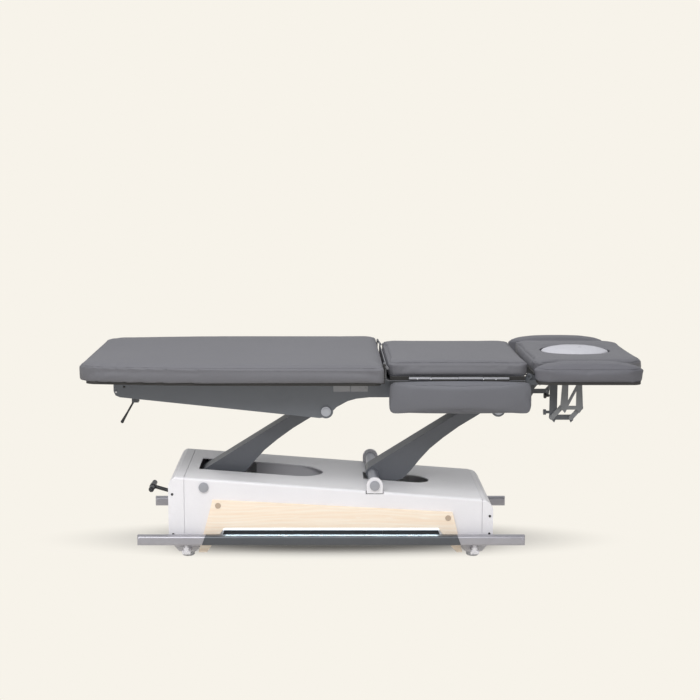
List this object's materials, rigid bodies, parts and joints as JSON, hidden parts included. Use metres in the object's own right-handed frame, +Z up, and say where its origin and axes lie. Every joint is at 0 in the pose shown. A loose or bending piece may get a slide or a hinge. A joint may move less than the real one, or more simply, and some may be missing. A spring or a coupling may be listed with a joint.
{
  "type": "chiropractic table",
  "caption": "Height-adjustable chiropractic table: white base with oak side panels, parallelogram lift, tilting leg and head sections, folding side wings and drop-down arm rests.",
  "frame": {"origin": "centre of the bounding box on the floor plane, under the middle of the table", "axes": "+X towards the head end along the table, +Y towards the far side, +Z up"},
  "size_m": [2.018, 0.8, 0.739],
  "materials": {
    "casing_white": "satin white powder coat",
    "oak": "pale oiled oak",
    "light_strip": "milky light cover",
    "screw_cover": "tan cap",
    "dark_screw": "blackened",
    "chassis_grey": "satin grey",
    "beam_grey": "satin light grey",
    "foot_grey": "moulded foot",
    "ear_white": "satin white",
    "cap_grey": "satin cap",
    "trough_grey": "satin",
    "housing_black": "moulded housing",
    "bar_dark": "fine powder coat",
    "bar_light": "fine powder coat",
    "pedal_dark": "satin black",
    "castor_steel": "zinc plated",
    "wheel_dark": "castor tyre",
    "arm_dark": "satin dark grey",
    "rod_steel": "bright rod",
    "rail_grey": "satin grey",
    "frame_dark": "satin dark grey",
    "plate_silver": "bare plate",
    "lever_black": "grip",
    "gas_black": "satin black",
    "board": "stained plywood",
    "cushion_grey": "upholstery leatherette over foam",
    "wing_grey": "upholstery leatherette over foam",
    "rest_grey": "upholstery leatherette over foam",
    "plug_grey": "upholstery leatherette over foam",
    "tray_metal": "satin",
    "hinge_metal": "satin",
    "knob_black": "moulded knob",
    "link_grey": "satin grey"
  },
  "bodies": {
    "base": {"base_casing": "casing_white", "foot_end_cap": "casing_white", "head_end_cap": "casing_white", "near_side_panel": "oak", "far_side_panel": "oak", "light_strips": "light_strip", "panel_screw_covers": "screw_cover", "casing_screws": "dark_screw", "chassis": "chassis_grey", "foot_beams": "beam_grey", "levelling_feet": "foot_grey", "axle_ears": "ear_white", "lower_axles": "cap_grey", "arm_trough": "trough_grey", "service_cap": "trough_grey", "control_box": "housing_black"},
    "near_bar": {"near_foot_bar": "bar_dark", "near_bar_ends": "bar_light"},
    "far_bar": {"far_foot_bar": "bar_dark", "far_bar_ends": "bar_light"},
    "pedal": {"castor_pedal": "pedal_dark"},
    "push_rod": {"castor_push_rod": "castor_steel"},
    "foot_shaft": {"foot_castor_shaft": "castor_steel"},
    "head_shaft": {"head_castor_shaft": "castor_steel"},
    "foot_wheels": {"foot_castor_wheels": "wheel_dark"},
    "head_wheels": {"head_castor_wheels": "wheel_dark"},
    "foot_arm": {"foot_lift_arm": "arm_dark"},
    "head_arm": {"head_lift_arm": "arm_dark"},
    "ram_tube": {"actuator_tube": "housing_black"},
    "ram_rod": {"actuator_rod": "rod_steel"},
    "upper_frame": {"near_side_rail": "rail_grey", "far_side_rail": "rail_grey", "upper_cross_tubes": "frame_dark", "upper_axles": "cap_grey", "label_plates": "plate_silver", "mid_tray": "tray_metal", "mid_pad": "cushion_grey", "wing_hinge_rails": "hinge_metal"},
    "release": {"release_lever": "lever_black"},
    "gas_tube": {"gas_spring_tube": "gas_black"},
    "gas_rod": {"gas_spring_rod": "rod_steel"},
    "leg_section": {"leg_board": "board", "leg_pad": "cushion_grey"},
    "near_wing": {"near_wing_board": "board", "near_wing_pad": "wing_grey"},
    "far_wing": {"far_wing_board": "board", "far_wing_pad": "wing_grey"},
    "head_section": {"head_frame": "frame_dark", "head_pad": "cushion_grey"},
    "plug": {"face_plug": "plug_grey"},
    "near_knob": {"near_clamp_knob": "knob_black"},
    "far_knob": {"far_clamp_knob": "knob_black"},
    "near_link_a": {"near_foot_link": "link_grey"},
    "near_link_b": {"near_head_link": "link_grey"},
    "near_rest": {"near_arm_carrier": "link_grey", "near_arm_pad": "rest_grey"},
    "far_link_a": {"far_foot_link": "link_grey"},
    "far_link_b": {"far_head_link": "link_grey"},
    "far_rest": {"far_arm_carrier": "link_grey", "far_arm_pad": "rest_grey"}
  },
  "joints": [
    {"name": "near_bar_press", "type": "slide", "parent": "base", "child": "near_bar", "axis": [0, 0, -1], "range_m": [0, 0.008], "stiffness_N_per_m": 9000, "springref_m": -0.008},
    {"name": "far_bar_press", "type": "slide", "parent": "base", "child": "far_bar", "axis": [0, 0, -1], "range_m": [0, 0.008], "stiffness_N_per_m": 9000, "springref_m": -0.008},
    {"name": "castor_pedal_swing", "type": "hinge", "parent": "base", "child": "pedal", "pos_m": [-0.649, 0, 0.166], "axis": [0, -1, 0], "range_deg": [0, 26.9]},
    {"name": "push_rod_turn", "type": "hinge", "parent": "pedal", "child": "push_rod", "pos_m": [-0.649, 0.151, 0.197], "axis": [0, -1, 0], "range_deg": [-26.9, 0]},
    {"name": "foot_shaft_turn", "type": "hinge", "parent": "base", "child": "foot_shaft", "pos_m": [-0.47, 0, 0.092], "axis": [0, -1, 0], "range_deg": [0, 26.9]},
    {"name": "head_shaft_turn", "type": "hinge", "parent": "base", "child": "head_shaft", "pos_m": [0.3, 0, 0.092], "axis": [0, -1, 0], "range_deg": [0, 26.9]},
    {"name": "foot_wheels_spin", "type": "hinge", "parent": "foot_shaft", "child": "foot_wheels", "pos_m": [-0.52775, 0, 0.049], "axis": [0, 1, 0], "continuous": true},
    {"name": "head_wheels_spin", "type": "hinge", "parent": "head_shaft", "child": "head_wheels", "pos_m": [0.24225, 0, 0.049], "axis": [0, 1, 0], "continuous": true},
    {"name": "lift", "type": "hinge", "parent": "base", "child": "head_arm", "pos_m": [0.0435, 0, 0.268], "axis": [0, -1, 0], "range_deg": [-28, 42.8]},
    {"name": "foot_arm_turn", "type": "hinge", "parent": "base", "child": "foot_arm", "pos_m": [-0.576, 0, 0.262], "axis": [0, -1, 0], "range_deg": [-28, 42.8]},
    {"name": "table_level", "type": "hinge", "parent": "head_arm", "child": "upper_frame", "pos_m": [0.48631, 0, 0.54685], "axis": [0, -1, 0], "range_deg": [-42.8, 28]},
    {"name": "ram_tube_turn", "type": "hinge", "parent": "base", "child": "ram_tube", "pos_m": [-0.38, 0, 0.12], "axis": [0, -1, 0], "range_deg": [-0.6, 0.9]},
    {"name": "ram_rod_turn", "type": "hinge", "parent": "head_arm", "child": "ram_rod", "pos_m": [0.05592, 0, 0.18391], "axis": [0, -1, 0], "range_deg": [-42, 27.5]},
    {"name": "release_squeeze", "type": "hinge", "parent": "upper_frame", "child": "release", "pos_m": [-0.821, -0.2, 0.583], "axis": [0, 1, 0], "range_deg": [0, 15], "stiffness_Nm_per_rad": 1.2, "springref_deg": -11.46},
    {"name": "leg_tilt", "type": "hinge", "parent": "upper_frame", "child": "leg_section", "pos_m": [0.073, 0, 0.722], "axis": [0, 1, 0], "range_deg": [0, 30]},
    {"name": "gas_tube_turn", "type": "hinge", "parent": "upper_frame", "child": "gas_tube", "pos_m": [-0.02, 0, 0.605], "axis": [0, 1, 0], "range_deg": [0, 34]},
    {"name": "gas_rod_turn", "type": "hinge", "parent": "leg_section", "child": "gas_rod", "pos_m": [-0.34, 0, 0.64], "axis": [0, 1, 0], "range_deg": [0, 4]},
    {"name": "near_wing_raise", "type": "hinge", "parent": "upper_frame", "child": "near_wing", "pos_m": [0.339, -0.292, 0.6695], "axis": [-1, 0, 0], "range_deg": [0, 90]},
    {"name": "far_wing_raise", "type": "hinge", "parent": "upper_frame", "child": "far_wing", "pos_m": [0.339, 0.292, 0.6695], "axis": [1, 0, 0], "range_deg": [0, 90]},
    {"name": "head_tilt", "type": "hinge", "parent": "upper_frame", "child": "head_section", "pos_m": [0.594, 0, 0.668], "axis": [0, -1, 0], "range_deg": [-35, 8]},
    {"name": "plug_lift", "type": "slide", "parent": "head_section", "child": "plug", "axis": [0, 0, 1], "range_m": [0, 0.08]},
    {"name": "near_knob_turn", "type": "hinge", "parent": "upper_frame", "child": "near_knob", "pos_m": [0.648, -0.258, 0.603], "axis": [1, 0, 0], "continuous": true},
    {"name": "far_knob_turn", "type": "hinge", "parent": "upper_frame", "child": "far_knob", "pos_m": [0.648, 0.258, 0.603], "axis": [1, 0, 0], "continuous": true},
    {"name": "near_rest_drop", "type": "hinge", "parent": "upper_frame", "child": "near_link_a", "pos_m": [0.67327, -0.2722, 0.52551], "axis": [0, 1, 0], "range_deg": [0, 89]},
    {"name": "near_link_b_turn", "type": "hinge", "parent": "upper_frame", "child": "near_link_b", "pos_m": [0.74127, -0.2722, 0.52551], "axis": [0, 1, 0], "range_deg": [0, 89]},
    {"name": "near_rest_level", "type": "hinge", "parent": "near_link_a", "child": "near_rest", "pos_m": [0.70607, -0.2722, 0.56324], "axis": [0, 1, 0], "range_deg": [-89, 0]},
    {"name": "far_rest_drop", "type": "hinge", "parent": "upper_frame", "child": "far_link_a", "pos_m": [0.67327, 0.2722, 0.52551], "axis": [0, 1, 0], "range_deg": [0, 89]},
    {"name": "far_link_b_turn", "type": "hinge", "parent": "upper_frame", "child": "far_link_b", "pos_m": [0.74127, 0.2722, 0.52551], "axis": [0, 1, 0], "range_deg": [0, 89]},
    {"name": "far_rest_level", "type": "hinge", "parent": "far_link_a", "child": "far_rest", "pos_m": [0.70607, 0.2722, 0.56324], "axis": [0, 1, 0], "range_deg": [-89, 0]}
  ],
  "couplings": [
    {"joint": "push_rod_turn", "follows": "castor_pedal_swing", "ratio": -1},
    {"joint": "foot_shaft_turn", "follows": "castor_pedal_swing", "ratio": 1},
    {"joint": "head_shaft_turn", "follows": "castor_pedal_swing", "ratio": 1},
    {"joint": "foot_arm_turn", "follows": "lift", "ratio": 1},
    {"joint": "table_level", "follows": "lift", "ratio": -1},
    {"joint": "ram_tube_turn", "follows": "lift", "ratio": 0.02},
    {"joint": "ram_rod_turn", "follows": "lift", "ratio": -0.98},
    {"joint": "gas_tube_turn", "follows": "leg_tilt", "ratio": 1.13},
    {"joint": "gas_rod_turn", "follows": "leg_tilt", "ratio": 0.13},
    {"joint": "near_link_b_turn", "follows": "near_rest_drop", "ratio": 1},
    {"joint": "near_rest_level", "follows": "near_rest_drop", "ratio": -1},
    {"joint": "far_link_b_turn", "follows": "far_rest_drop", "ratio": 1},
    {"joint": "far_rest_level", "follows": "far_rest_drop", "ratio": -1}
  ]
}
